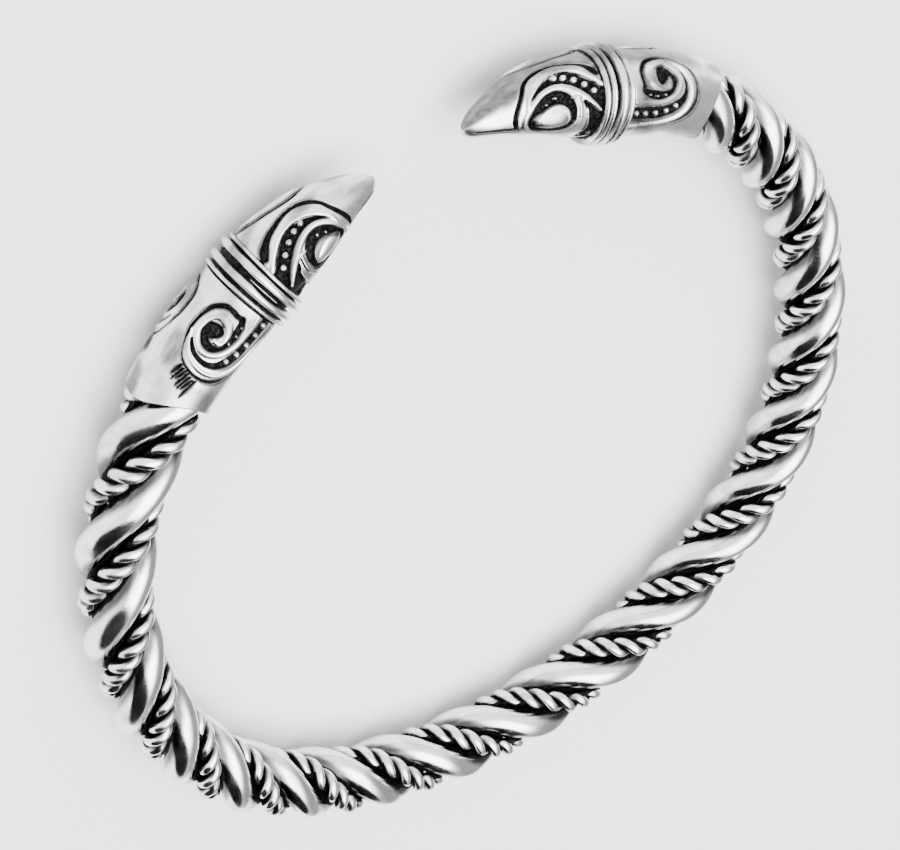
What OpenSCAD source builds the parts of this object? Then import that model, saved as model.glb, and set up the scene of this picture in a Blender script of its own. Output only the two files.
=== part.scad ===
// Open arm ring: a rope of two strands and two twisted wires between two cast raven heads.
// It lies on its side: X across the wrist, +Y towards the mouth, +Z along the wrist.
// The origin is under the middle of the ring, on the surface that it lies on.

/* [Ring outline] */
// Free opening between the two beak tips
mouth = 7.2; // [5:0.1:16]
// Bend radius of the two corners beside the flatter back
corner_r = 27.5; // [24:0.5:31]
// Bend radius of the two sides
side_r = 39; // [32:0.5:50]
// Bend radius of the two shoulders before the heads
shoulder_r = 30; // [27:0.5:34]
// Bend radius along the two heads
end_r = 32; // [28:0.5:38]
// Turn of half the back, in degrees
back_turn = 29.5; // [26:0.5:34]
// Turn of each corner, in degrees
corner_turn = 43.5; // [38:0.5:48]
// Turn of each side, in degrees
side_turn = 30.5; // [26:0.5:35]
// Turn of each shoulder, in degrees
shoulder_turn = 44.5; // [40:0.5:49]
// Turn along each head, in degrees
end_turn = 26.5; // [22:0.5:30]

/* [Rope] */
// Diameter of a thick strand
strand_d = 2.86; // [2.6:0.02:3.2]
// Height of a twisted wire, seen from the rope's middle
wire_h = 1.72; // [1.4:0.02:2]
// Breadth of a twisted wire round the rope
wire_w = 2.5; // [1.9:0.02:2.7]
// Length of rope in which the strands go once round
rope_pitch = 16.1; // [13:0.1:20]
// Length of rope from one bead of a twisted wire to the next
bead_pitch = 1.55; // [1.2:0.01:1.9]
// Depth of the notch between two beads of a twisted wire
bead_notch = 0.24; // [0.1:0.02:0.4]
// Where the first wire stands at the middle of the back, in degrees from outward
wire_phase = 133; // [0:1:180]
// Clearance between neighbouring pieces
piece_gap = 0.06; // [0.04:0.01:0.12]
// Share that the rope keeps of its thickness where it is pressed into a head's socket
swage = 0.9; // [0.86:0.01:0.96]

/* [Heads] */
// Length of a head from the beak's tip to the collar
head_len = 10.1; // [8.5:0.1:12]
// Depth of the head from crown to throat, at the collar
head_h = 6.3; // [5.8:0.1:6.9]
// Width of the head from side to side, at the collar
head_w = 6.1; // [5.6:0.1:6.8]
// Length of the collar of three rings
collar_len = 2.8; // [2.2:0.1:3.4]
// Diameter of the collar's broad middle ring
collar_d = 7.36; // [7:0.02:8]
// Diameter of the collar's two thin rings
thin_ring_d = 7; // [6.7:0.02:7.3]
// Length of the neck from the collar to its rim
neck_len = 8.4; // [7:0.1:10]
// Diameter of the neck
neck_d = 6.6; // [6.3:0.02:7]
// Depth of the socket that the rope is pressed into
socket_depth = 1.6; // [1.2:0.1:2.4]

/* [Cast relief] */
// Height of the raised lines
line_h = 0.28; // [0.15:0.01:0.4]
// Breadth of the broad raised lines
line_b = 0.62; // [0.45:0.01:0.8]
// Breadth of the narrow border line
border_b = 0.42; // [0.3:0.01:0.55]
// Diameter of the raised beads
stud_d = 0.62; // [0.4:0.01:0.72]
// Diameter of the ball that ends the scroll
ball_d = 0.95; // [0.7:0.01:1.1]
// Length of the eye
eye_len = 2.1; // [1.6:0.05:2.5]
// Breadth of the eye
eye_b = 1.45; // [1:0.05:1.8]
// Height of the eye
eye_h = 0.42; // [0.3:0.01:0.5]
// Height of the ball that ends the scroll
ball_h = 0.38; // [0.28:0.01:0.5]

/* [Hidden] */

strand_sides = 8;
strand_rings_a_turn = 10.8; // on average
wire_sides = 5;
bead_lean = 0.35; // share of a bead's length
lay_tight = 1.2; // most by which the uneven lay quickens
body_sides = 16;
stud_sides = 6;
eye_sides = 8;
sunk = 0.25; // how deep the relief is rooted in the body
line_top = 0.5; // flat top of a raised line, as a share of its breadth
// Domes: [share of the breadth, share of the height, or the depth of the root].
bead_dome = [[0.56, -sunk], [0.3, 1]];
eye_dome = [[0.5, -sunk], [0.45, 0.5], [0.2, 1]];

function sum_to(list, n) = n <= 0 ? 0 : list[n - 1] + sum_to(list, n - 1);
function ease(t) = let(u = min(1, max(0, t))) u * u * (3 - 2 * u);

// Centre line: a chain of tangent arcs from the middle of the back to the beak's tip.
turns = [back_turn, corner_turn, side_turn, shoulder_turn, end_turn];
heads = [for (i = [0:5]) sum_to(turns, i)];
bends = [corner_r, side_r, shoulder_r, end_r];
reach = [for (i = [0:3]) bends[i] * (sin(heads[i + 2]) - sin(heads[i + 1]))];
back_r = (mouth / 2 - sum_to(reach, 4)) / sin(back_turn);
radii = concat([back_r], bends);
runs = [for (i = [0:4]) radii[i] * turns[i] * PI / 180];
half_len = sum_to(runs, 5);
arc_x = [for (i = [0:4]) radii[i] * (sin(heads[i + 1]) - sin(heads[i]))];
arc_y = [for (i = [0:4]) radii[i] * (cos(heads[i]) - cos(heads[i + 1]))];

function arc_of(s, i = 4) = i == 0 || s >= sum_to(runs, i) ? i : arc_of(s, i - 1);
function heading(s) =
    let(a = abs(s), i = arc_of(a))
    sign(s) * (heads[i] + (a - sum_to(runs, i)) / radii[i] * 180 / PI);
function along(s) =
    let(i = arc_of(abs(s)), h = abs(heading(s)))
    [sign(s) * (sum_to(arc_x, i) + radii[i] * (sin(h) - sin(heads[i]))),
        sum_to(arc_y, i) + radii[i] * (cos(heads[i]) - cos(h))];

// Rope sections, in the plane square to the centre line.
strand_r = strand_d / 2;
// The strands are straight between two rings, so the seat is measured at the middle of a run.
strand_seat = (strand_r + piece_gap / 2) / cos(180 * lay_tight / strand_rings_a_turn);
rope_r = strand_seat + strand_r;
wire_mean_r = (wire_h + wire_w) / 4;
wire_seat = sqrt(pow(strand_r + wire_mean_r + piece_gap, 2) - pow(strand_seat, 2));
rim_r = neck_d / 2;
collar_back = head_len + collar_len;
cast_len = collar_back + neck_len;
socket_r = rope_r * swage + piece_gap;
rope_half = half_len - cast_len + socket_depth - piece_gap;
swage_run = socket_depth;
// Uneven lay: [share of the rope's half length, degrees by which the strands run ahead of an even lay].
lay_rows = [[-1, -70], [-0.45, 16], [-0.12, 3], [0.36, 16], [0.7, -9], [1, -72]];

// Body of a head: [share of the head's length from the tip, crown, throat, side], the last three as
// shares of half the head's depth and width.
head_rows = [
    [0.02, 0.10, 0.20, 0.13],
    [0.06, 0.25, 0.29, 0.24],
    [0.14, 0.44, 0.34, 0.36],
    [0.26, 0.62, 0.42, 0.50],
    [0.40, 0.80, 0.55, 0.68],
    [0.52, 0.91, 0.67, 0.79],
    [0.66, 0.98, 0.80, 0.90],
    [0.82, 1.00, 0.90, 0.97],
    [1.00, 1.00, 0.98, 1.00],
];
// Collar: [share of the collar's length, 0 groove, 1 thin ring, 2 broad ring].
collar_rows = [
    [0.02, 0], [0.08, 1], [0.21, 1], [0.27, 0], [0.34, 2],
    [0.66, 2], [0.73, 0], [0.79, 1], [0.92, 1], [0.98, 0],
];
groove_d = min(head_w, neck_d);
collar_steps = [groove_d / 2, thin_ring_d / 2, collar_d / 2];
// Neck: [share of the neck's length, share of the neck's radius].
neck_rows = [[0.02, 1], [0.30, 1.02], [0.62, 1.02], [0.88, 0.99], [1, 0.97]];

// Every station of the body: [distance from the tip, crown, throat, side].
stations = concat(
    [for (r = head_rows) [r[0] * head_len, r[1] * head_h / 2, r[2] * head_h / 2, r[3] * head_w / 2]],
    [for (r = collar_rows) let(c = collar_steps[r[1]]) [head_len + r[0] * collar_len, c, c, c]],
    [for (r = neck_rows) let(c = r[1] * rim_r) [collar_back + r[0] * neck_len, c, c, c]]
);
function column(c) = [for (r = stations) [r[0], r[c]]];
crowns = column(1);
throats = column(2);
flanks = column(3);

// The rim of the collar is the lowest point, and the crown of the head the foremost.
front_y = max([for (r = stations) along(half_len - r[0])[1] - r[1] * cos(heading(half_len - r[0]))]);
shift_y = (rope_r - front_y) / 2;
floor_z = collar_d / 2;

// A point out from and up from the centre line at s.
function place(s, out, up) =
    let(c = along(s), h = heading(s))
    [c[0] + out * sin(h), c[1] - out * cos(h) + shift_y, up + floor_z];
// A point on a head, d from the tip and phi degrees round from the crown, lifted off the skin.
function cast_point(d, phi, lift = 0) =
    let(deep = lookup(d, cos(phi) > 0 ? crowns : throats), wide = lookup(d, flanks))
    place(half_len - d, (deep + lift) * cos(phi), (wide + lift) * sin(phi));

// A closed skin over rings of points, with a fan at each end. Seen from the first ring the points run
// anticlockwise; flip is for rings whose points run clockwise. Each facet is cut along its short diagonal.
module skin(rings, flip = false) {
    n = len(rings[0]);
    last = len(rings) - 1;
    ends = [for (e = [0, last]) [for (k = [0:2]) sum_to([for (p = rings[e]) p[k]], n) / n]];
    points = concat([for (r = rings) each r], ends);
    sides = [for (i = [0:last - 1], j = [0:n - 1])
        let(a = i * n + j, b = i * n + (j + 1) % n,
            short = norm(points[b] - points[a + n]) < norm(points[a] - points[b + n]))
        each short ? [[a, b, a + n], [b, b + n, a + n]] : [[a, b, b + n], [a, b + n, a + n]]];
    caps = [for (j = [0:n - 1])
        let(k = (j + 1) % n)
        each [[k, j, (last + 1) * n], [last * n + j, last * n + k, (last + 1) * n + 1]]];
    faces = concat(sides, caps);
    polyhedron(points = points, faces = flip ? [for (f = faces) [f[2], f[1], f[0]]] : faces);
}

// The angle from outward at which a strand or wire stands at s.
function lay_ahead(u, i = len(lay_rows) - 2) =
    let(a = lay_rows[i], b = lay_rows[i + 1])
    i > 0 && u < a[0] ? lay_ahead(u, i - 1) : a[1] + (b[1] - a[1]) * ease((u - a[0]) / (b[0] - a[0]));
function lay(phase, s) = phase - 360 * s / rope_pitch + lay_ahead(s / rope_half);

// One twisted tube of the rope.
// seat: its middle from the rope's middle; high, broad: half sizes; phase: angle at the back;
// spin: how far the points turn with the lay, from 0 to 1; notch: how far every other ring is drawn in;
// lean: how far each ring leans along the rope.
module lay_tube(seat, high, broad, phase, sides, rings, spin = 0, notch = 0, lean = 0) {
    skin([for (i = [0:rings])
        let(mid = rope_half * (2 * i / rings - 1), edge = min(1, (rope_half - abs(mid)) / bead_pitch))
        [for (j = [0:sides - 1])
            let(u = 360 * j / sides - (1 - spin) * lay(phase, mid),
                s = mid - lean * edge * sin(u),
                k = 1 - (1 - swage) * ease((abs(s) - rope_half + 2 * swage_run) / swage_run),
                f = i % 2 == 1 ? 1 - notch / high : 1,
                turn = lay(phase, s),
                r = k * (seat + f * high * cos(u)),
                t = k * f * broad * sin(u))
            place(s, r * cos(turn) - t * sin(turn), r * sin(turn) + t * cos(turn))]]);
}

module strand(phase) {
    lay_tube(strand_seat, strand_r, strand_r, phase, strand_sides,
        ceil(2 * rope_half / rope_pitch * strand_rings_a_turn));
}

module wire(phase) {
    lay_tube(wire_seat, wire_h / 2, wire_w / 2, phase, wire_sides,
        2 * round(2 * rope_half / bead_pitch), 1, bead_notch, bead_lean * bead_pitch);
}

// Relief tables: [share of the head's or the neck's length, degrees round from the crown].
outer_crescent = [[0.45, 38], [0.49, 26], [0.55, 16], [0.61, 12], [0.69, 13], [0.77, 19], [0.85, 28], [1, 52]];
inner_crescent = [[0.47, 105], [0.44, 90], [0.43, 75], [0.44, 62], [0.47, 52], [0.52, 43], [0.58, 38], [0.65, 38],
    [0.72, 43], [0.79, 51], [0.93, 71], [1, 82]];
cheek_hook = [[0.75, 57], [0.79, 64], [0.81, 76], [0.83, 90], [0.86, 104]];
head_studs = [[0.65, 26], [0.72, 28], [0.79, 35], [0.86, 45], [0.93, 56], [0.63, 54]];
eye_place = [0.625, 82];
scroll = [[-0.02, 75], [0.13, 80], [0.29, 82], [0.44, 76], [0.53, 63], [0.56, 50], [0.54, 37], [0.47, 26],
    [0.38, 20], [0.27, 21], [0.19, 29], [0.15, 41], [0.19, 53], [0.27, 58], [0.34, 56]];
scroll_ball = [0.39, 52];
border = [[-0.02, 113], [0.25, 113], [0.44, 107], [0.58, 96], [0.67, 80], [0.70, 62], [0.68, 42], [0.61, 28],
    [0.51, 17], [0.33, 11], [-0.02, 20]];
neck_studs = [[0.07, 98], [0.19, 99], [0.31, 98], [0.42, 92], [0.51, 84]];

// A row of a relief table as distance from the tip and degrees.
function on_head(row) = [row[0] * head_len, row[1]];
function on_neck(row) = [collar_back + row[0] * neck_len, row[1]];

// A raised line through the rows, with sloping sides.
module line(rows, breadth) {
    n = len(rows);
    deg_mm = rim_r * PI / 180;
    skin([for (i = [0:n - 1])
        let(a = rows[max(0, i - 1)], b = rows[min(n - 1, i + 1)],
            go = [b[0] - a[0], (b[1] - a[1]) * deg_mm],
            side = [-go[1], go[0]] / norm(go))
        [for (v = [[-0.5, -sunk], [-line_top / 2, line_h], [line_top / 2, line_h], [0.5, -sunk]])
            cast_point(rows[i][0] + side[0] * v[0] * breadth, rows[i][1] + side[1] * v[0] * breadth / deg_mm, v[1])]],
        flip = true);
}

// A raised bead or eye: rings of points that narrow as they rise, closed to a convex dome.
module stud(place_on, long, broad, h, dome, sides = stud_sides) {
    deg_mm = rim_r * PI / 180;
    hull() {
        skin([for (v = dome)
            [for (j = [0:sides - 1])
                let(u = 360 * j / sides)
                cast_point(place_on[0] + v[0] * long * cos(u), place_on[1] + v[0] * broad * sin(u) / deg_mm,
                    v[1] > 0 ? v[1] * h : v[1])]], flip = true);
    }
}

module head_relief() {
    line([for (r = outer_crescent) on_head(r)], line_b);
    line([for (r = inner_crescent) on_head(r)], line_b);
    line([for (r = cheek_hook) on_head(r)], line_b);
    for (r = head_studs) {
        stud(on_head(r), stud_d, stud_d, line_h, bead_dome);
    }
    stud(on_head(eye_place), eye_len, eye_b, eye_h, eye_dome, eye_sides);
}

module neck_relief() {
    line([for (r = scroll) on_neck(r)], line_b);
    line([for (r = border) on_neck(r)], border_b);
    for (r = neck_studs) {
        stud(on_neck(r), stud_d, stud_d, line_h, bead_dome);
    }
    stud(on_neck(scroll_ball), ball_d, ball_d, ball_h, bead_dome);
}

module cast_body() {
    outside = [for (r = stations) [for (j = [0:body_sides - 1]) cast_point(r[0], 360 * j / body_sides)]];
    socket = [for (d = [cast_len, cast_len - socket_depth])
        [for (j = [0:body_sides - 1])
            place(half_len - d, socket_r * cos(360 * j / body_sides), socket_r * sin(360 * j / body_sides))]];
    skin(concat(outside, socket), flip = true);
}

// The right-hand head; its relief is the same on both flanks.
module raven() {
    union() {
        cast_body();
        head_relief();
        neck_relief();
        translate([0, 0, 2 * floor_z]) mirror([0, 0, 1]) {
            head_relief();
            neck_relief();
        }
    }
}

module strand_a() { color("gainsboro") strand(wire_phase + 90); }
module strand_b() { color("lightgray") strand(wire_phase + 270); }
module wire_a() { color("silver") wire(wire_phase); }
module wire_b() { color("darkgray") wire(wire_phase + 180); }
module raven_left() { color("whitesmoke") mirror([1, 0, 0]) raven(); }
module raven_right() { color("whitesmoke") raven(); }

strand_a();
strand_b();
wire_a();
wire_b();
raven_left();
raven_right();
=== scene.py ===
import bpy
import numpy as np
from math import atan, cos, pi, radians, sin
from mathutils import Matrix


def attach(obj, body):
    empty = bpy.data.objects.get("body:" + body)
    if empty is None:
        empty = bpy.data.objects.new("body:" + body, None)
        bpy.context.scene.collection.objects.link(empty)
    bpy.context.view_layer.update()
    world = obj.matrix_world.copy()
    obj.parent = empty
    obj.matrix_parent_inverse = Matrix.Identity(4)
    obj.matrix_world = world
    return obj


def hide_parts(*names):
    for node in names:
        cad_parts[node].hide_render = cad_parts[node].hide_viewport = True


# Open arm ring of twisted metal rope between two cast raven heads, laid on a pale floor.
# Lengths are in millimetres until they go into a mesh; the frame is in metres.
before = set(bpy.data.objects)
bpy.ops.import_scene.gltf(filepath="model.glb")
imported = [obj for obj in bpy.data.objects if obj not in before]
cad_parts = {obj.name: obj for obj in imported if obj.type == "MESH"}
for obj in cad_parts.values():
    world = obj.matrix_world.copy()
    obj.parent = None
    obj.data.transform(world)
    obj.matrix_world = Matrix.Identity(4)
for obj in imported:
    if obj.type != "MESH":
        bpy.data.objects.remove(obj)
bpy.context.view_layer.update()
mm = 0.001

ring = {
    "mouth": 7.2,               # between the beak tips
    "turns": [29.5, 43.5, 30.5, 44.5, 26.5],    # degrees, from the back's middle to a tip
    "bends": [27.5, 39.0, 30.0, 32.0],          # radius of each arc after the back's
    "backY": -31.494,           # centre line at the back's middle
    "axisZ": 3.68,              # height of the centre line
    "castLength": 21.3,         # a head, from the beak's tip to the neck's rim
    "inSocket": 1.54,           # rope inside each neck
    "pitch": 16.1,              # rope length in which the strands go once round
    "phase": 133.0,             # first wire at the back's middle, degrees from outward
    # uneven lay: share of the rope's half length, degrees by which the strands run ahead
    "ahead": [(-1, -70), (-0.45, 16), (-0.12, 3), (0.36, 16), (0.7, -9), (1, -72)],
}


def ringArcs():
    turns = np.radians(ring["turns"])
    headings = np.concatenate([[0], np.cumsum(turns)])
    reach = np.diff(np.sin(headings[1:])) * ring["bends"]
    radii = np.array([(ring["mouth"] / 2 - reach.sum()) / sin(turns[0])] + ring["bends"])
    return headings, radii, np.concatenate([[0], np.cumsum(radii * turns)])


arcHeadings, arcRadii, arcStarts = ringArcs()
halfLength = arcStarts[-1]
ropeHalf = halfLength - ring["castLength"] + ring["inSocket"]


# A point out from and up from the centre line at s, which runs from the back's middle to the right.
def place(s, out, up):
    a = np.abs(s)
    i = np.clip(np.searchsorted(arcStarts, a, side="right") - 1, 0, len(arcRadii) - 1)
    heading = arcHeadings[i] + (a - arcStarts[i]) / arcRadii[i]
    startX = np.concatenate([[0], np.cumsum(arcRadii * np.diff(np.sin(arcHeadings)))])
    startY = np.concatenate([[0], np.cumsum(arcRadii * -np.diff(np.cos(arcHeadings)))])
    x = startX[i] + arcRadii[i] * (np.sin(heading) - np.sin(arcHeadings[i])) + out * np.sin(heading)
    y = startY[i] + arcRadii[i] * (np.cos(arcHeadings[i]) - np.cos(heading)) - out * np.cos(heading)
    x, y, z = np.broadcast_arrays(np.where(s < 0, -x, x), y + ring["backY"], up + ring["axisZ"])
    return np.stack([x, y, z], -1)


# Rises from 0 at low to 1 at high, and is level at both.
def smooth(low, high, x):
    t = np.clip((x - low) / (high - low), 0, 1)
    return t * t * (3 - 2 * t)


# The angle from outward, in radians, at which a strand or wire stands at s.
def lay(phase, s):
    share = np.clip(s / ropeHalf, -1, 1)
    ahead = 0
    for (a, low), (b, high) in zip(ring["ahead"][:-1], ring["ahead"][1:]):
        ahead = np.where(share >= a, low + (high - low) * smooth(a, b, share), ahead)
    return np.radians(phase - 360 * s / ring["pitch"] + ahead)


handwork = {
    "waves": 7,                 # summed for each kind of unevenness
    "slowest": 0.4,             # slowest wave's pace, as a share of the quickest's
    "spread": 1.6,              # brings nearly all of the sum within -1 to 1
}


# Slow, shallow unevenness of hand-worked metal. The two sizes are those of its shortest waves.
def uneven(seed, u, v, sizes):
    rng = np.random.default_rng(seed)
    total = 0
    for _ in range(handwork["waves"]):
        paces = rng.uniform(handwork["slowest"], 1.0, 2) * 2 * pi / np.array(sizes)
        ku, kv = paces * rng.choice([-1, 1], 2)
        total = total + np.sin(ku * u + kv * v + rng.uniform(0, 2 * pi))
    return total / handwork["waves"] ** 0.5 / handwork["spread"]


# A closed skin over rows of points, with a fan at each end, and what is stored on its points.
def makeSkin(name, grids, stored, flip=False):
    points, faces, start = [], [], 0
    for grid in grids:
        rows, cols, _ = grid.shape
        a = np.arange(rows * cols).reshape(rows, cols) + start
        b = np.roll(a, -1, axis=1)
        ends = start + rows * cols
        faces += np.stack([a[:-1], b[:-1], b[1:], a[1:]], -1).reshape(-1, 4).tolist()
        faces += np.stack([b[0], a[0], np.full(cols, ends)], -1).tolist()
        faces += np.stack([a[-1], b[-1], np.full(cols, ends + 1)], -1).tolist()
        points += [grid.reshape(-1, 3), grid[0].mean(0)[None], grid[-1].mean(0)[None]]
        start += rows * cols + 2
    if flip:
        faces = [f[::-1] for f in faces]
    mesh = bpy.data.meshes.new(name)
    mesh.from_pydata((np.vstack(points) * mm).tolist(), [], faces)
    mesh.polygons.foreach_set("use_smooth", [True] * len(mesh.polygons))
    for key, fields in stored.items():
        flat = []
        for v in fields:
            flat += [v.reshape(-1, *v.shape[2:]), v[0].mean(0)[None], v[-1].mean(0)[None]]
        flat = np.concatenate(flat).astype(np.float32)
        kind, field = ("FLOAT_VECTOR", "vector") if flat.ndim == 2 else ("FLOAT", "value")
        mesh.attributes.new(key, kind, "POINT").data.foreach_set(field, flat.ravel())
    mesh.update()
    piece = bpy.data.objects.new(name, mesh)
    bpy.context.scene.collection.objects.link(piece)
    return piece


def settle(piece, node, finish):
    piece.data.materials.append(finish)
    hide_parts(node)
    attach(piece, "root")
    print("made", piece.name, len(piece.data.vertices), "points")


# Shader maths: one socket, so that sums on it read as plain sums.
class Sock:
    def __init__(self, tree, out):
        self.tree = tree
        self.out = out

    def sum(self, how, a, b):
        return addNode(self.tree, "ShaderNodeMath", {"operation": how}, {0: a, 1: b})

    def __add__(self, other):
        return self.sum("ADD", self, other)

    def __mul__(self, other):
        return self.sum("MULTIPLY", self, other)

    def __sub__(self, other):
        return self.sum("SUBTRACT", self, other)

    def __rsub__(self, other):
        return self.sum("SUBTRACT", other, self)

    __radd__ = __add__
    __rmul__ = __mul__

    def between(self, low, high):
        return addNode(self.tree, "ShaderNodeMapRange", {"interpolation_type": "SMOOTHSTEP"},
                       {"Value": self, "From Min": low, "From Max": high})


# Any node: its type, its settings, and the values or links of its sockets. Gives one output, if it has any.
def addNode(tree, kind, settings=None, inputs=None, output=0):
    node = tree.nodes.new(kind)
    for key, value in (settings or {}).items():
        setattr(node, key, value)
    for key, value in (inputs or {}).items():
        if isinstance(value, Sock):
            tree.links.new(value.out, node.inputs[key])
        else:
            node.inputs[key].default_value = value
    if node.outputs:
        return Sock(tree, node.outputs[output])


# Sockets 0, 6 and 7 are the factor and the two colours, and output 2 is the mixed colour.
def mixColour(tree, amount, a, b):
    return addNode(tree, "ShaderNodeMix", {"data_type": "RGBA"}, {0: amount, 6: a, 7: b}, output=2)


metal = {
    "bright": (0.86, 0.86, 0.85, 1),
    "worn": (0.46, 0.46, 0.46, 1),
    "grey": (0.06, 0.06, 0.06, 1),      # grey of the painted shade on the flanks and beside the black, and of grit in the black
    "black": (0.004, 0.004, 0.004, 1),
    "greyLight": 0.083,         # the grey's brightness, as a share of the clean metal's
    # noises: scale, detail, and scale along the piece as a share of that across it
    "lines": (9.0, 3.0, 0.10),  # polishing lines
    "streaks": (2.4, 4.0, 0.35),
    "clouds": (0.6, 3.0, 1),
    "grit": (5.0, 4.0, 1),
    "noiseRoughness": 0.6,
    # none below the first number, full above the second
    "sootEdge": (0.34, 0.62),
    "rubbedEdge": (0.38, 0.72),
    "gritEdge": (0.42, 0.72),
    "greyRagged": 0.5,          # how far the streaks shift the edge of the painted shade's grey
    "rubbedTone": 0.7,          # how far rubbing takes bright metal to worn
    "gritTone": 0.5,            # how far grit takes black to grey
    "lined": 0.10,              # what the polishing lines add to the roughness
    "rubbed": 0.12,             # what rubbing adds to it
    "sooty": 0.45,              # what blackening adds to it
    "bumpHeight": 0.01,
}


# The finish varies round each piece by what is stored on its points: tarnish, painted shade and lay.
def metalFinish(name, polish, ragged, scratch, pitting):
    mat = bpy.data.materials.new(name)
    mat.use_nodes = True
    tree = mat.node_tree
    tree.nodes.clear()
    tarnish = addNode(tree, "ShaderNodeAttribute", {"attribute_name": "tarnish"}, output="Fac")
    paintedShade = addNode(tree, "ShaderNodeAttribute", {"attribute_name": "paintedShade"}, output="Fac")
    where = addNode(tree, "ShaderNodeAttribute", {"attribute_name": "lay"}, output="Vector")

    def noise(scale, detail, along):
        drawn = addNode(tree, "ShaderNodeVectorMath", {"operation": "MULTIPLY"},
                        {0: where, 1: (along, 1, 1)})
        return addNode(tree, "ShaderNodeTexNoise", None, {
            "Vector": drawn, "Scale": scale, "Detail": detail, "Roughness": metal["noiseRoughness"]})

    lines, streaks, clouds, grit = (noise(*metal[key]) for key in ("lines", "streaks", "clouds", "grit"))
    soot = (tarnish + (streaks - 0.5) * ragged).between(*metal["sootEdge"])
    rubbed = clouds.between(*metal["rubbedEdge"])
    clean = mixColour(tree, rubbed * metal["rubbedTone"], metal["bright"], metal["worn"])
    # Painted shade: grey mixed into the clean metal by the paintedShade attribute.
    greyed = (paintedShade + (streaks - 0.5) * metal["greyRagged"]).between(0.0, 1.0)
    toned = mixColour(tree, greyed, clean, metal["grey"])
    gritty = grit.between(*metal["gritEdge"]) * metal["gritTone"]
    black = mixColour(tree, gritty, metal["black"], metal["grey"])
    colour = mixColour(tree, soot, toned, black)
    roughness = polish + rubbed * metal["rubbed"] + (lines - 0.5) * metal["lined"] + soot * metal["sooty"]
    bump = addNode(tree, "ShaderNodeBump", None, {
        "Strength": 1.0, "Distance": metal["bumpHeight"] * mm, "Height": lines * scratch + grit * pitting})
    shader = addNode(tree, "ShaderNodeBsdfPrincipled", None, {
        "Base Color": colour, "Roughness": roughness, "Metallic": 1.0, "Normal": bump})
    addNode(tree, "ShaderNodeOutputMaterial", None, {"Surface": shader})
    return mat


# Amount of grey to mix in, so that equal steps of t look like equal steps of tone.
def deepen(t):
    return (1 - metal["greyLight"] ** t) / (1 - metal["greyLight"])


rope = {
    "strandSeat": 1.495,        # strand's middle from the rope's middle
    "strandRadius": 1.49,
    "strandGrid": (520, 56),    # rings, and points in a ring
    "dents": 0.030,             # depth of a strand's unevenness
    "dentSizes": (7, 4),        # along the strand and round it
    "fineDents": 0.4,           # finer unevenness, as a share of the coarse
    "fineSizes": (2, 2),
    "dentRadius": 1.6,          # at which the unevenness runs round a strand
    "facing": (-0.95, -0.3),    # no dents where strands face each other, by the cosine from outward
    "wireSeat": 2.04,           # wire's middle from the rope's middle
    "wireHigh": 0.825,          # half of a wire's height
    "wireBroad": 0.95,          # half of its breadth, square to its run
    "wireShort": 0.6,           # how far a wire ends before the strands
    "plySeat": 0.48,            # ply's middle and radius, as shares of the wire's half size
    "plyRadius": 0.48,
    "plyTurn": 3.1,             # rope length in which a wire's plies go once round
    "plyRings": 22,             # rings in a turn of the plies
    "plySides": 14,
    # by the distance from the rope's middle: full up to the first number, none past the second
    "sootStrand": (1.90, 2.14), # black of a strand's flanks
    # painted shade: a strand greys towards the rope's middle
    "greyStrand": (2.04, 2.72),
    "sootSides": (2.02, 2.28),  # black of a wire's sides
    # the same by the distance from the wire's middle, as a share of its half size
    "sootWire": (0.42, 0.62),   # black between the plies
    # painted shade: grey towards the crevices between the plies
    "greyWire": (0.56, 0.84),
    "greyMost": 0.8,            # of a wire's painted shade
    "stray": 0.10,              # unevenness of the wire's black and of its painted shade
    "strayBreadth": 3,          # of a wire, for that unevenness
    "straySizes": (3, 2),
}


def makeStrand(name, node, phase, seed):
    rings, sides = rope["strandGrid"]
    s = np.linspace(-ropeHalf, ropeHalf, rings)[:, None]
    around = np.linspace(0, 2 * pi, sides, endpoint=False)[None]
    turn = lay(phase, s)
    coarse = uneven(seed, s, rope["dentRadius"] * np.sin(around - turn), rope["dentSizes"])
    fine = uneven(seed + 1, s, rope["dentRadius"] * np.cos(around), rope["fineSizes"])
    dents = coarse + rope["fineDents"] * fine
    worn = smooth(*rope["facing"], np.cos(around - turn))
    r = rope["strandRadius"] - rope["dents"] * (0.5 + 0.5 * dents) * worn
    out = rope["strandSeat"] * np.cos(turn) + r * np.cos(around)
    up = rope["strandSeat"] * np.sin(turn) + r * np.sin(around)
    far = np.hypot(out, up)
    tarnish = 1 - smooth(*rope["sootStrand"], far)
    # Painted shade: grey down the strand's flanks, deeper towards the rope's middle.
    paintedShade = deepen(1 - smooth(*rope["greyStrand"], far))
    where = np.stack(np.broadcast_arrays(s, r * np.cos(around), r * np.sin(around)), -1) + seed
    stored = {"tarnish": [tarnish], "paintedShade": [paintedShade], "lay": [where]}
    settle(makeSkin(name, [place(s, out, up)], stored, flip=True), node, strandMetal)


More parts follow.
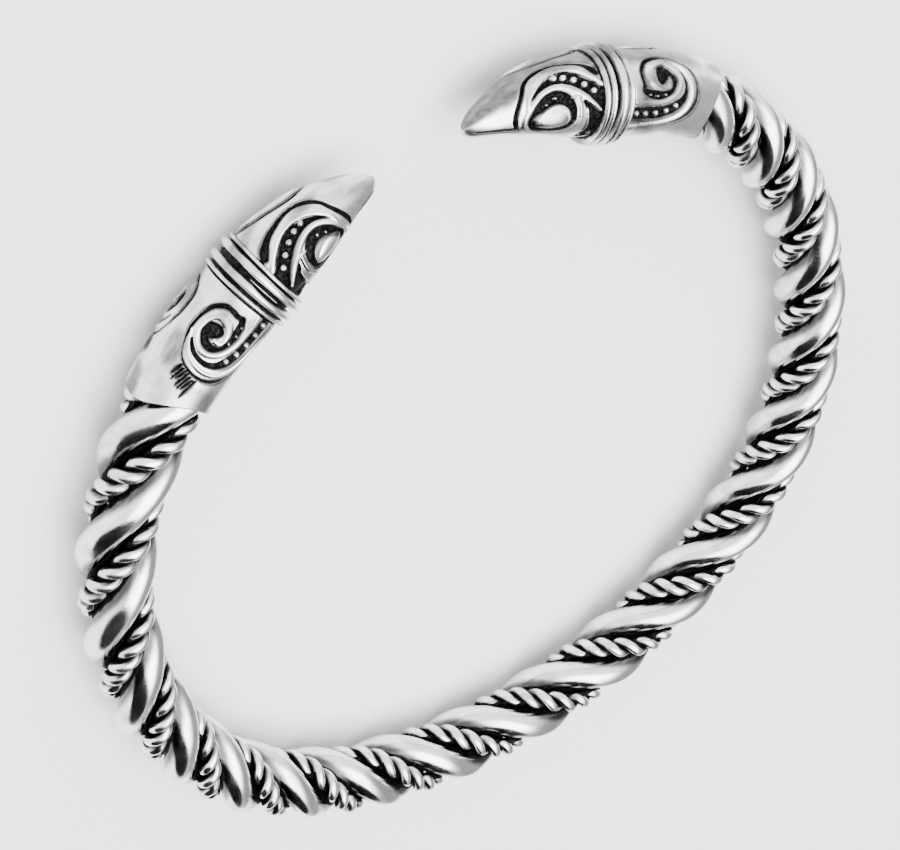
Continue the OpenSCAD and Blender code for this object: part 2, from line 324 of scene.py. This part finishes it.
def makeWire(name, node, phase, seed):
    rings = int(2 * ropeHalf / rope["plyTurn"] * rope["plyRings"])
    wireHalf = ropeHalf - rope["wireShort"]
    s = np.linspace(-wireHalf, wireHalf, rings)[:, None]
    around = np.linspace(0, 2 * pi, rope["plySides"], endpoint=False)[None]
    turn = lay(phase, s)
    seat, r = rope["plySeat"], rope["plyRadius"]
    lean = atan(2 * pi * rope["wireSeat"] / ring["pitch"])      # between the wire's run and the rope's
    slope = -seat * 2 * pi / rope["plyTurn"] * cos(lean)        # of the ply's run to the wire's
    long = (1 + slope ** 2) ** 0.5
    leanB = np.sin(around) / long               # round the ply, square to its run
    c = -r * np.sin(around) * slope / long
    grids, soot, paintedShades, lays = [], [], [], []
    for start in (0, pi):
        twist = start - 2 * pi * s / rope["plyTurn"]
        a = seat * np.cos(twist) + r * (np.cos(around) * np.cos(twist) - leanB * np.sin(twist))
        b = seat * np.sin(twist) + r * (np.cos(around) * np.sin(twist) + leanB * np.cos(twist))
        high, broad = a * rope["wireHigh"], b * rope["wireBroad"]
        side = broad * cos(lean) - c * sin(lean)
        out = (rope["wireSeat"] + high) * np.cos(turn) - side * np.sin(turn)
        up = (rope["wireSeat"] + high) * np.sin(turn) + side * np.cos(turn)
        grids.append(place(s + broad * sin(lean) + c * cos(lean), out, up))
        far = np.hypot(out, up)
        stray = uneven(seed, s, rope["strayBreadth"] * b, rope["straySizes"])
        inside = np.hypot(a, b) + rope["stray"] * stray
        between = 1 - smooth(*rope["sootWire"], inside)
        sides = 1 - smooth(*rope["sootSides"], far)
        soot.append(np.maximum(between, sides))
        # Painted shade: grey towards the crevices between the plies.
        paintedShades.append(deepen(rope["greyMost"] * (1 - smooth(*rope["greyWire"], inside))))
        lays.append(np.stack(np.broadcast_arrays(s, a, b), -1) + seed + start)
    stored = {"tarnish": soot, "paintedShade": paintedShades, "lay": lays}
    settle(makeSkin(name, grids, stored), node, wireMetal)


# Places on a head are given by the distance from the beak's tip, and by degrees round from the crown.
head = {
    # share of the rows, where they lie, and their number
    "rows": ([0, 0.10, 0.41, 0.59, 0.91, 1], [0, 3.0, 9.6, 12.7, 18.6, 20.7], 316),
    # the same for the columns round half of the head
    "columns": ([0, 0.82, 1], [0, 122, 180], 144),
    "crowded": (3.0, 1.5),      # up to this place the rows crowd to the tip, by this power
    "rim": 20.7,                # of the neck
    "rimWave": 0.6,             # how far the rim runs on at the crown and throat, and back at the sides
    "rimWaveFrom": 19.0,        # where the rows begin to wave
    "bore": 3.01,               # radius inside the rim
    # over the rim: how far on from it, how far out, how black
    "lip": [(-0.02, -0.05, 0.3), (-0.01, -0.13, 0.8), (-0.12, -0.20, 1)],
    "socket": (19.85, 19.72),   # places of the last rings, inside the neck

    # cast body: place, crown, throat, side
    "body": [
        (0.0, 0.03, 0.32, 0.06), (0.2, 0.42, 0.66, 0.44), (0.6, 0.83, 0.91, 0.75), (1.4, 1.38, 1.10, 1.12),
        (2.6, 1.97, 1.34, 1.55), (4.0, 2.52, 1.73, 2.07), (5.25, 2.87, 2.11, 2.41), (6.7, 3.08, 2.52, 2.75),
        (8.3, 3.12, 2.84, 2.92), (10.1, 3.08, 3.08, 3.02), (12.9, 3.00, 3.22, 3.16),
        (13.8, 2.98, 3.20, 3.14), (15.4, 3.12, 3.18, 3.18), (18.1, 3.16, 3.14, 3.18),
        (20.0, 3.14, 3.14, 3.14), (24.0, 3.12, 3.12, 3.12),
    ],
    "bodySteps": 12,            # points in each span of it

    # relief in strokes: place, degrees, half breadth
    "strokeSteps": 9,           # points in each span of a stroke
    "thinnest": 0.02,           # half breadth of a stroke
    "past": 9.0,                # half breadths that lie past every edge
    "blackened": [
        # ground between the two crescents, under the beads
        [(4.55, 52, .06), (4.85, 44, .18), (5.3, 37, .28), (5.9, 31.5, .36), (6.5, 29, .42),
         (7.1, 30.5, .46), (7.8, 36.5, .46), (8.5, 45.5, .46), (9.15, 55.5, .46), (9.6, 67, .36),
         (9.85, 78, .26)],
        # ground round the eye, and behind the hook
        [(4.75, 76, .28), (5.15, 66, .34), (5.7, 59, .40), (6.3, 57, .42), (6.9, 62, .36), (7.3, 72, .26),
         (7.45, 84, .20), (7.4, 95, .20), (7.0, 105, .24), (6.2, 110, .26), (5.3, 108, .26),
         (4.6, 100, .24), (4.4, 88, .22), (4.75, 76, .28)],
        [(8.35, 68, .12), (8.75, 76, .28), (9.15, 88, .44), (9.3, 102, .54), (9.2, 118, .50),
         (8.9, 130, .40)],
        # ground beside the collar
        [(9.74, 48, .10), (9.74, 75, .16), (9.72, 100, .20), (9.62, 125, .20)],
        # hollow of the scroll, and the ground under it
        [(15.15, 30, .26), (15.2, 36, .50), (15.05, 43, .42), (14.98, 49, .20)],
        [(15.55, 33, .24), (15.95, 39, .24), (16.12, 46, .22), (16.14, 54, .21), (15.95, 62, .20)],
        [(13.5, 61, .18), (14.1, 65.5, .26), (14.8, 67, .28), (15.4, 65, .22), (15.9, 60.5, .12)],
        # ground under the beads of the neck, drawn out to a groove
        [(12.6, 93, .46), (13.8, 94, .50), (14.9, 92.5, .48), (15.8, 88, .42), (16.5, 80, .36),
         (17.0, 70, .24), (17.2, 58, .16), (17.15, 46, .13), (16.85, 34, .12), (16.3, 25, .10)],
    ],
    "engraved": [
        # groove round the beak's base and the crown's plate
        [(3.4, 106, .08), (3.3, 95, .10), (3.3, 78, .12), (3.5, 62, .13), (3.8, 47, .13), (4.1, 34, .12),
         (4.4, 22, .12), (4.9, 14, .12), (5.6, 9, .13), (6.3, 7, .12), (7.0, 8, .11), (7.7, 10.5, .12),
         (8.4, 13.5, .14), (8.95, 18, .20), (9.35, 23.5, .28), (9.6, 30, .22)],
        # edge of the beak
        [(0.7, 99, .04), (1.6, 103, .07), (2.5, 105, .08), (3.3, 106, .08)],
        # between the leaf and the scroll
        [(17.0, 20, .04), (16.2, 15, .08), (15.4, 13, .11), (14.6, 14.5, .12), (13.9, 20, .12),
         (13.42, 32, .13), (13.36, 42, .13), (13.45, 52, .14), (13.4, 60, .16)],
        # outside the border
        [(16.8, 18, .03), (17.6, 27, .05), (18.1, 42, .06), (18.3, 60, .08), (18.15, 78, .10),
         (17.7, 92, .09), (16.9, 103, .07), (15.6, 111, .05)],
    ],
    "raised": [
        # outer crescent, inner crescent, hook
        [(4.15, 66, .16), (4.35, 50, .24), (4.8, 38, .29), (5.4, 28.5, .32), (6.1, 21.5, .33),
         (6.8, 18.5, .32), (7.5, 19.5, .31), (8.2, 24, .31), (8.8, 31, .30), (9.35, 39.5, .28),
         (9.8, 48, .26)],
        [(3.95, 108, .17), (3.85, 94, .20), (3.95, 80, .24), (4.25, 68, .27), (4.7, 57, .29),
         (5.3, 47.5, .31), (6.0, 43, .32), (6.6, 43.5, .32), (7.2, 48, .32), (7.8, 55, .31),
         (8.4, 63, .29), (9.0, 72, .25), (9.6, 82, .17)],
        [(7.35, 61, .10), (7.6, 60, .18), (7.95, 60, .24)],
        [(7.75, 60, .22), (7.9, 70, .22), (8.0, 81, .21), (7.95, 92, .20), (7.75, 103, .15)],
        # thin ridge behind the hook
        [(8.5, 78, .08), (8.6, 90, .12), (8.7, 104, .12), (8.6, 116, .08)],
        # scroll, with its ball
        [(12.45, 74.5, .28), (13.3, 77.5, .31), (14.2, 78.5, .32), (15.1, 76, .33), (15.85, 70, .33),
         (16.35, 61, .31), (16.6, 50, .29), (16.55, 39, .28), (16.2, 29.5, .29), (15.6, 23.5, .30),
         (14.95, 23, .34), (14.35, 28, .39), (14.08, 36, .43), (14.15, 44, .46), (14.3, 51, .47),
         (14.75, 57, .36), (15.2, 58.5, .26), (15.55, 57, .24)],
        [(15.58, 49, .27), (15.60, 54.5, .30)],
        # border of the scroll
        [(12.5, 113, .20), (14.2, 110, .22), (15.5, 106, .24), (16.6, 98, .26), (17.3, 87, .27),
         (17.65, 74, .25), (17.75, 60, .23), (17.6, 46, .21), (17.2, 33, .19), (16.6, 23.5, .16),
         (15.8, 17, .12)],
    ],
    # line on the crown's side of the beads
    "fineLine": [(5.2, 36, .03), (5.9, 27, .04), (6.6, 23, .045), (7.4, 23.5, .045), (8.1, 28.5, .045),
                 (8.8, 37, .04), (9.4, 46, .04)],
    # beads: place, degrees, radius
    "beads": [(6.45, 28.5, .28), (7.1, 31, .30), (7.8, 37, .30), (8.5, 45.5, .29), (9.15, 55.5, .28),
              (6.1, 57.5, .15), (5.45, 64.5, .10), (12.95, 93, .29), (13.85, 94, .29), (14.75, 92.5, .28),
              (15.65, 88, .27), (16.4, 80, .25), (13.9, 66, .11), (14.55, 68, .12), (15.25, 66, .11)],
    "eyeAt": (5.85, 88.5),
    "eyeHalf": (1.52, 0.84),    # half of its length and height
    "eyeCorners": (1.8, 2),     # powers of its outline along and across, sharper corners below 2

    # edges of the cuts, in half breadths from the middle: full up to the first number, none past the second
    "deep": 0.30,               # depth of the blackened ground
    "steep": 1.6,               # most depth of a cut, in its half breadths
    "cutEdge": (0.70, 1.20),
    "cutBlack": (0.80, 1.15),
    "cutGrey": (0.0, 0.30),     # painted shade beside a cut, in millimetres outside it
    "fineDeep": 0.09,           # depth of the fine line
    "fineEdge": (0.5, 1.4),
    "fineBlack": (0.6, 1.5),
    "fineMost": 0.8,            # of its black
    # raised forms: height over the skin, powers of the rounding, and where the black and the painted
    # shade's grey of the ground begin and are full, as shares of the way to the edge
    "lineForm": {"top": 0.12, "round": (2.4, 0.6), "black": (0.76, 0.98), "grey": (0.20, 0.98)},
    "beadForm": {"top": 0.10, "round": (2, 0.5), "black": (0.80, 0.98), "grey": (0.6, 1.0)},
    "eyeForm": {"top": 0.12, "round": (3, 0.5), "black": (0.86, 0.98), "grey": (0.4, 1.0)},
    # of the painted shade's grey on the head
    "greyMost": 0.8,

    "collar": (9.86, 12.50),    # its two edges
    "collarSoft": (0.05, 0.06), # half breadth of each edge's fall
    "collarDeep": 0.14,         # depth of its ground
    "collarLift": 0.24,         # what the rings gain towards the throat
    "liftOver": (98, 150),      # degrees over which they gain it
    "ringRound": (3, 0.5),      # powers of a ring's rounding
    "wedgeEdge": (0.7, 1.1),
    "ridgeTop": 0.24,           # height of the ridge in the wedge
    "collarBlack": (-0.02, 0.15),       # full up to the first height over the skin, none over the second
    # painted shade: grey by the rings' height, full up to the first, none over the second
    "collarGrey": (0.0, 0.30),

    "shiftFrom": (3.2, 6.0),    # where a head's relief begins to lie nearer the tip, and where it ends
    "shiftTo": (18.5, 20.5),
    "neckFrom": (10.5, 12.0),   # where the neck begins, in how it is rolled
    "rollFree": 30,             # degrees from the crown over which the head's roll sets in
    "dents": 0.030,             # depth of the skin's unevenness
    "dentRadius": 3,            # at which it and the painted reflection's grey patches run round the head
    "dentSizes": (4, 2.5),
    # painted reflection: grey patches over the head
    "patchSizes": (5, 2.5),
    "patchEdge": (-0.2, 1.1),
    "patchGrey": 0.42,
    # painted shade over the crown: degrees that it reaches on the beak and on the crown, where the one
    # becomes the other, the degrees over which it fades, and where it ends on the neck
    "crownReach": (64, 34),
    "crownFrom": (3.0, 4.6),
    "crownFade": 24,
    "crownEnd": (18, 20),
}
hatch = {
    "count": 7,
    "step": (0.12, 4.2),        # from one mark to the next
    # points of a mark: place, degrees, half breadth, and how far and how fast they stray
    "mark": [(18.9, 27, .04, 0.16, 2.3), (18.4, 31, .10, 0, 0), (17.9, 34, .04, 0.14, 1.7)],
}


def hatchMarks():
    on, over = hatch["step"]
    return [[(at + on * k + stray * sin(pace * k), turn + over * k, half)
             for at, turn, half, stray, pace in hatch["mark"]] for k in range(hatch["count"])]


# Each head: its seed, degrees by which it is rolled, how far its relief lies nearer the tip, painted shade
# over its crown, the rings of its collar (place, half breadth, height over the skin), and cuts of its own.
leftHead = {
    "side": -1, "seed": 53, "roll": 8, "nearer": 0.38, "crownGrey": 0.12,
    "rings": [(10.04, 0.15, 0.34), (10.60, 0.32, 0.46), (11.56, 0.32, 0.46), (12.22, 0.16, 0.34)],
    "wedge": [(11.08, 12, .04), (11.08, 32, .10), (11.10, 50, .27), (11.10, 72, .30), (11.08, 95, .16),
              (11.08, 125, .08)],
    "wedgeRidges": [[(11.12, 34, .03), (11.12, 48, .07), (11.12, 66, .06), (11.12, 80, .03)]],
    "marks": hatchMarks(),
}
rightHead = {
    "side": 1, "seed": 61, "roll": 0, "nearer": 0.0, "crownGrey": 0.50,
    "rings": [(10.10, 0.18, 0.34), (10.60, 0.20, 0.44), (11.44, 0.32, 0.50), (12.14, 0.23, 0.38)],
    "wedge": [(10.97, 12, .06), (10.97, 40, .14), (10.97, 90, .17), (10.97, 130, .14)],
    "wedgeRidges": [],
    "marks": [],
}


# A smooth curve through rows of numbers.
def through(rows, steps):
    p = np.array(rows, float)
    p = np.vstack([2 * p[0] - p[1], p, 2 * p[-1] - p[-2]])
    t = np.linspace(0, 1, steps, endpoint=False)[:, None]
    spans = []
    for a, b, c, d in zip(p[:-3], p[1:-2], p[2:-1], p[3:]):
        square, cube = 2 * a - 5 * b + 4 * c - d, 3 * b - a - 3 * c + d
        spans.append(0.5 * (2 * b + (c - a) * t + square * t ** 2 + cube * t ** 3))
    return np.vstack(spans + [p[-2:-1]])


# How far each point lies from a stroke, as a share of the stroke's half breadth there.
def stroke(rows, d, phi, perDegree):
    near = np.full(d.shape, head["past"])
    for at, turn, half in through(rows, head["strokeSteps"]):
        near = np.minimum(near, np.hypot(d - at, (phi - turn) * perDegree) / max(half, head["thinnest"]))
    return near


# A rounded form over its ground: u runs from 0 at its middle to 1 at its edge.
def rounded(u, full, powers, ground):
    flat, fall = powers
    return full * (1 - u ** flat) ** fall - ground


# Height of the relief over the cast body's skin, how black it is, and how grey its painted shade is beside
# the cuts and on the collar's ground.
def castRelief(d, phi, perDegree, own):
    deep = head["deep"]
    h, black, grey = np.zeros(d.shape), np.zeros(d.shape), np.zeros(d.shape)
    for rows in head["blackened"] + head["engraved"] + own["marks"]:
        u = stroke(rows, d, phi, perDegree)
        broad = max(half for _, _, half in rows)
        h = np.minimum(h, -min(deep, head["steep"] * broad) * (1 - smooth(*head["cutEdge"], u)))
        black = np.maximum(black, 1 - smooth(*head["cutBlack"], u))
        # Painted shade: grey beside each cut.
        grey = np.maximum(grey, 1 - smooth(*head["cutGrey"], (u - 1) * broad))

    def raiseForm(u, form):
        nonlocal h, black, grey
        u = np.clip(u, 0, 1)
        raised = rounded(u, deep + form["top"], form["round"], deep)
        h = np.where(u < 1, np.maximum(h, raised), h)
        black = black * smooth(*form["black"], u)
        grey = grey * smooth(*form["grey"], u)

    for rows in head["raised"]:
        raiseForm(stroke(rows, d, phi, perDegree), head["lineForm"])
    u = stroke(head["fineLine"], d, phi, perDegree)
    h = h - head["fineDeep"] * (1 - smooth(*head["fineEdge"], u))
    black = np.maximum(black, head["fineMost"] * (1 - smooth(*head["fineBlack"], u)))
    for at, turn, r in head["beads"]:
        raiseForm(np.hypot(d - at, (phi - turn) * perDegree) / r, head["beadForm"])
    (at, turn), (long, tall), (sharp, plump) = head["eyeAt"], head["eyeHalf"], head["eyeCorners"]
    x, y = (d - at) / long, (phi - turn) * perDegree / tall
    raiseForm((np.abs(x) ** sharp + y ** plump) ** 0.5, head["eyeForm"])

    # The collar: a black ground with rings on it, cut by a wedge.
    (low, high), (lowSoft, highSoft) = head["collar"], head["collarSoft"]
    band = smooth(low - lowSoft, low + lowSoft, d) * (1 - smooth(high - highSoft, high + highSoft, d))
    ground = head["collarDeep"]
    rings = np.full(d.shape, -ground)
    lift = head["collarLift"] * smooth(*head["liftOver"], phi)
    for at, half, top in own["rings"]:
        u = np.clip(np.abs(d - at) / half, 0, 1)
        rings = np.maximum(rings, rounded(u, ground + top + lift, head["ringRound"], ground))
    cut = 1 - smooth(*head["wedgeEdge"], stroke(own["wedge"], d, phi, perDegree))
    rings = rings * (1 - cut) - ground * cut
    for rows in own["wedgeRidges"]:
        u = np.clip(stroke(rows, d, phi, perDegree), 0, 1)
        rings = np.maximum(rings, rounded(u, ground + head["ridgeTop"], head["beadForm"]["round"], ground))
    h = h * (1 - band) + rings * band
    black = black * (1 - band) + (1 - smooth(*head["collarBlack"], rings)) * band
    grey = grey * (1 - band) + (1 - smooth(*head["collarGrey"], rings)) * band
    return h, black, deepen(head["greyMost"] * grey)


def makeHead(name, node, own):
    shares, places, count = head["rows"]
    along = np.interp(np.linspace(0, 1, count), shares, places)[:, None]
    near, power = head["crowded"]
    along = np.where(along < near, near * (along / near) ** power, along)
    shares, degrees, count = head["columns"]
    half = np.interp(np.linspace(0, 1, count + 1), shares, degrees)
    phi = np.concatenate([half[:-1], 360 - half[:0:-1]])[None]
    phi = np.where(phi > 180, phi - 360, phi)
    c, sn = np.cos(np.radians(phi)), np.sin(np.radians(phi))
    wave = head["rimWave"] * np.cos(2 * np.radians(phi))
    rim = head["rim"] + wave
    d = along + wave * smooth(head["rimWaveFrom"], head["rim"], along)
    # The body's rows are spaced by the root of the distance, so that the tip comes out blunt.
    body = through([(at ** 0.5, *sizes) for at, *sizes in head["body"]], head["bodySteps"])
    crown, throat, flank = (np.interp(np.sqrt(d), body[:, 0], body[:, k]) for k in (1, 2, 3))
    deep = np.where(np.abs(phi) < 90, crown, throat)
    perDegree = (deep + flank) / 2 * pi / 180
    nearer = own["nearer"] * smooth(*head["shiftFrom"], d) * (1 - smooth(*head["shiftTo"], d))
    # The neck is rolled as one piece, and the head's two sides each by themselves.
    neck = smooth(*head["neckFrom"], d)
    rolled = np.abs(phi - own["roll"] * neck)
    rolled = rolled - own["roll"] * (1 - neck) * smooth(0, head["rollFree"], rolled)
    h, tarnish, paintedShade = castRelief(d + nearer, rolled, perDegree, own)
    # Painted reflection: grey patches over the head.
    patches = uneven(own["seed"] + 9, d, head["dentRadius"] * sn, head["patchSizes"])
    paintedShade = np.maximum(paintedShade, deepen(head["patchGrey"] * smooth(*head["patchEdge"], patches)))
    # Painted shade: grey over the crown, reaching further round on the beak.
    onBeak, onCrown = head["crownReach"]
    edge = onBeak - (onBeak - onCrown) * smooth(*head["crownFrom"], d)
    greyed = own["crownGrey"] * (1 - smooth(edge - head["crownFade"], edge, np.abs(phi)))
    paintedShade = np.maximum(paintedShade, deepen(greyed * (1 - smooth(*head["crownEnd"], d))))
    dents = uneven(own["seed"], d, head["dentRadius"] * sn, head["dentSizes"])
    h = h - head["dents"] * (0.5 + 0.5 * dents)
    out, up = (deep + h) * c, (flank + h) * sn
    # Over the rim and down the socket.
    last = np.hypot(out[-1], up[-1])[None]
    flat = 0 * rim
    lip = [(rim + on, np.maximum(last + wide, head["bore"]), flat + dark) for on, wide, dark in head["lip"]]
    lip += [(flat + at, flat + head["bore"], flat + 1) for at in head["socket"]]
    d = np.vstack([d] + [at for at, _, _ in lip])
    out = np.vstack([out] + [r * c for _, r, _ in lip])
    up = np.vstack([up] + [r * sn for _, r, _ in lip])
    tarnish = np.vstack([tarnish] + [dark for _, _, dark in lip])
    # Painted shade: full grey over the rim and down the socket, under the black.
    paintedShade = np.vstack([paintedShade] + [flat + 1] * len(lip))
    where = np.stack([d, out, up], -1) + own["seed"]
    points = place(own["side"] * (halfLength - d), out, up)
    stored = {"tarnish": [tarnish], "paintedShade": [paintedShade], "lay": [where]}
    settle(makeSkin(name, [points], stored, flip=own["side"] > 0), node, castMetal)


strandMetal = metalFinish("polished_strand_metal", polish=0.13, ragged=1.1, scratch=0.5, pitting=0.8)
wireMetal = metalFinish("twisted_wire_metal", polish=0.16, ragged=0.5, scratch=0.3, pitting=0.6)
castMetal = metalFinish("cast_head_metal", polish=0.20, ragged=0.55, scratch=0.4, pitting=0.7)
makeStrand("smooth_strand_a", "strand_a", ring["phase"] + 90, seed=11)
makeStrand("smooth_strand_b", "strand_b", ring["phase"] + 270, seed=23)
makeWire("twisted_wire_a", "wire_a", ring["phase"], seed=31)
makeWire("twisted_wire_b", "wire_b", ring["phase"] + 180, seed=47)
makeHead("cast_raven_left", "raven_left", leftHead)
makeHead("cast_raven_right", "raven_right", rightHead)

studio = {
    "floorHalf": 0.9,           # metres
    "floorShade": (0.90, 0.90, 0.90, 1),
    "speckShade": (0.84, 0.84, 0.84, 1),
    "speckShare": 0.04,
    "speckScale": 180.0,
    "speckDetail": 3.0,
    "floorRoughness": 0.8,
    "sensor": 36,
    "lens": 100.2,
    "clipStart": 0.01,          # metres
    "eye": (-53.61, 145.54, 123.21),
    "turn": (-41.960, -32.466, -10.602),
    "sky": 2.6,                 # light from all round
    "zenith": (15, 50, 7.5),    # full light within the first angle of straight up, none past the second
    # Screens round the tent: azimuth from +Y towards +X, height, full within, none past, their light.
    "screens": [(135, 12, 30, 70, 0.5), (-128, 22, 40, 47, 0.010)],
}


def makeFloor():
    h = studio["floorHalf"]
    mesh = bpy.data.meshes.new("pale_floor")
    mesh.from_pydata([(-h, -h, 0), (h, -h, 0), (h, h, 0), (-h, h, 0)], [], [(0, 1, 2, 3)])
    floor = bpy.data.objects.new("pale_floor", mesh)
    bpy.context.scene.collection.objects.link(floor)
    mat = bpy.data.materials.new("pale_floor_paper")
    mat.use_nodes = True
    tree = mat.node_tree
    tree.nodes.clear()
    where = addNode(tree, "ShaderNodeTexCoord", output="Object")
    speck = addNode(tree, "ShaderNodeTexNoise", None, {
        "Vector": where, "Scale": studio["speckScale"], "Detail": studio["speckDetail"]})
    shade = mixColour(tree, speck * studio["speckShare"], studio["floorShade"], studio["speckShade"])
    shader = addNode(tree, "ShaderNodeBsdfPrincipled", None, {
        "Base Color": shade, "Roughness": studio["floorRoughness"]})
    addNode(tree, "ShaderNodeOutputMaterial", None, {"Surface": shader})
    mesh.materials.append(mat)
    print("laid", floor.name)


def makeSky():
    world = bpy.data.worlds.new("light_tent")
    bpy.context.scene.world = world
    world.use_nodes = True
    tree = world.node_tree
    tree.nodes.clear()
    way = addNode(tree, "ShaderNodeTexCoord", output="Generated")

    def lobe(azimuth, height, full, none):
        a, e = radians(azimuth), radians(height)
        towards = addNode(tree, "ShaderNodeVectorMath", {"operation": "DOT_PRODUCT"},
                          {0: way, 1: (sin(a) * cos(e), cos(a) * cos(e), sin(e))}, output="Value")
        return towards.between(cos(radians(none)), cos(radians(full)))

    full, none, light = studio["zenith"]
    bright = lobe(0, 90, full, none) * light + studio["sky"]
    for azimuth, height, full, none, light in studio["screens"]:
        screen = lobe(azimuth, height, full, none)
        bright = bright * (1 - screen) + screen * light
    light = addNode(tree, "ShaderNodeBackground", None, {"Color": (1, 1, 1, 1), "Strength": bright})
    addNode(tree, "ShaderNodeOutputWorld", None, {"Surface": light})
    print("hung", world.name, "with", len(studio["screens"]), "screens")


def makeCamera():
    data = bpy.data.cameras.new("camera")
    data.sensor_width = studio["sensor"]
    data.lens = studio["lens"]
    data.clip_start = studio["clipStart"]
    camera = bpy.data.objects.new("camera", data)
    camera.location = [v * mm for v in studio["eye"]]
    camera.rotation_euler = [radians(v) for v in studio["turn"]]
    bpy.context.scene.collection.objects.link(camera)
    bpy.context.scene.camera = camera
    print("set up", camera.name)


makeFloor()
makeSky()
makeCamera()
